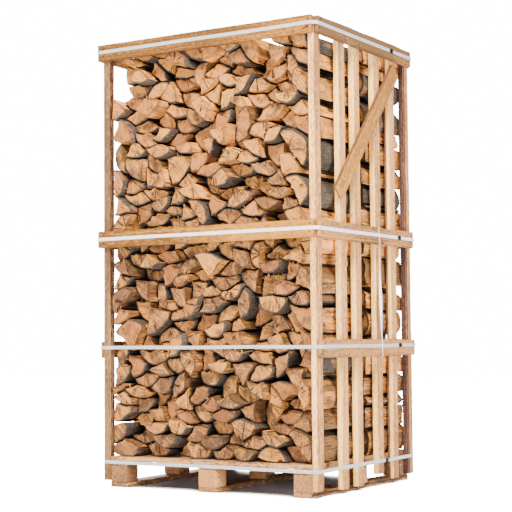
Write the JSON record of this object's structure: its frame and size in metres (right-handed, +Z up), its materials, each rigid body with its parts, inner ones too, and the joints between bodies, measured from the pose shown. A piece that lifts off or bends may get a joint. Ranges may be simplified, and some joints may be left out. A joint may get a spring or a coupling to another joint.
{
  "type": "pallet of firewood",
  "caption": "Tall slatted wooden crate on a pallet, open at the front and back, filled to the top with split logs in two rows and held by plastic straps.",
  "frame": {"origin": "on the ground at the middle of the footprint", "axes": "+Z up; the open front with its sawn log ends looks along -Y; the side with the brace and the strap seals looks along +X"},
  "size_m": [1.2047, 1.0022, 2.11],
  "materials": {
    "rail": "rough-sawn softwood, ochre",
    "post": "rough-sawn softwood, pale",
    "pallet": "rough-sawn softwood",
    "brace": "rough-sawn softwood, aged",
    "strap": "ribbed polypropylene band, white",
    "seal": "blued crimped steel",
    "logs": "split hardwood with sawn ends and grey bark"
  },
  "bodies": {
    "root": {"skid_left": "pallet", "skid_middle": "pallet", "skid_right": "pallet", "block_left_front": "pallet", "block_left_centre": "pallet", "block_left_rear": "pallet", "block_middle_front": "pallet", "block_middle_centre": "pallet", "block_middle_rear": "pallet", "block_right_front": "pallet", "block_right_centre": "pallet", "block_right_rear": "pallet", "stringer_left": "pallet", "stringer_middle": "pallet", "stringer_right": "pallet", "deck_board_1": "pallet", "deck_board_2": "pallet", "deck_board_3": "pallet", "deck_board_4": "pallet", "deck_board_5": "pallet", "deck_board_6": "pallet", "post_left_front": "post", "post_left_rear": "post", "post_right_front": "post", "post_right_rear": "post", "slat_left_1": "post", "slat_left_2": "post", "slat_left_3": "post", "slat_left_4": "post", "slat_right_1": "post", "slat_right_2": "post", "slat_right_3": "post", "slat_right_4": "post", "rail_top_left": "rail", "rail_top_right": "rail", "rail_top_front": "rail", "rail_top_rear": "rail", "rail_middle_left": "rail", "rail_middle_right": "rail", "rail_middle_front": "rail", "rail_middle_rear": "rail", "rail_lower_left": "rail", "rail_lower_right": "rail", "brace_right": "brace", "strap_bottom": "strap", "strap_lower": "strap", "strap_middle": "strap", "strap_top": "strap", "strap_tail": "strap", "seal_bottom": "seal", "seal_lower": "seal", "seal_middle": "seal", "seal_top": "seal", "logs_front": "logs", "logs_rear": "logs"}
  },
  "joints": []
}
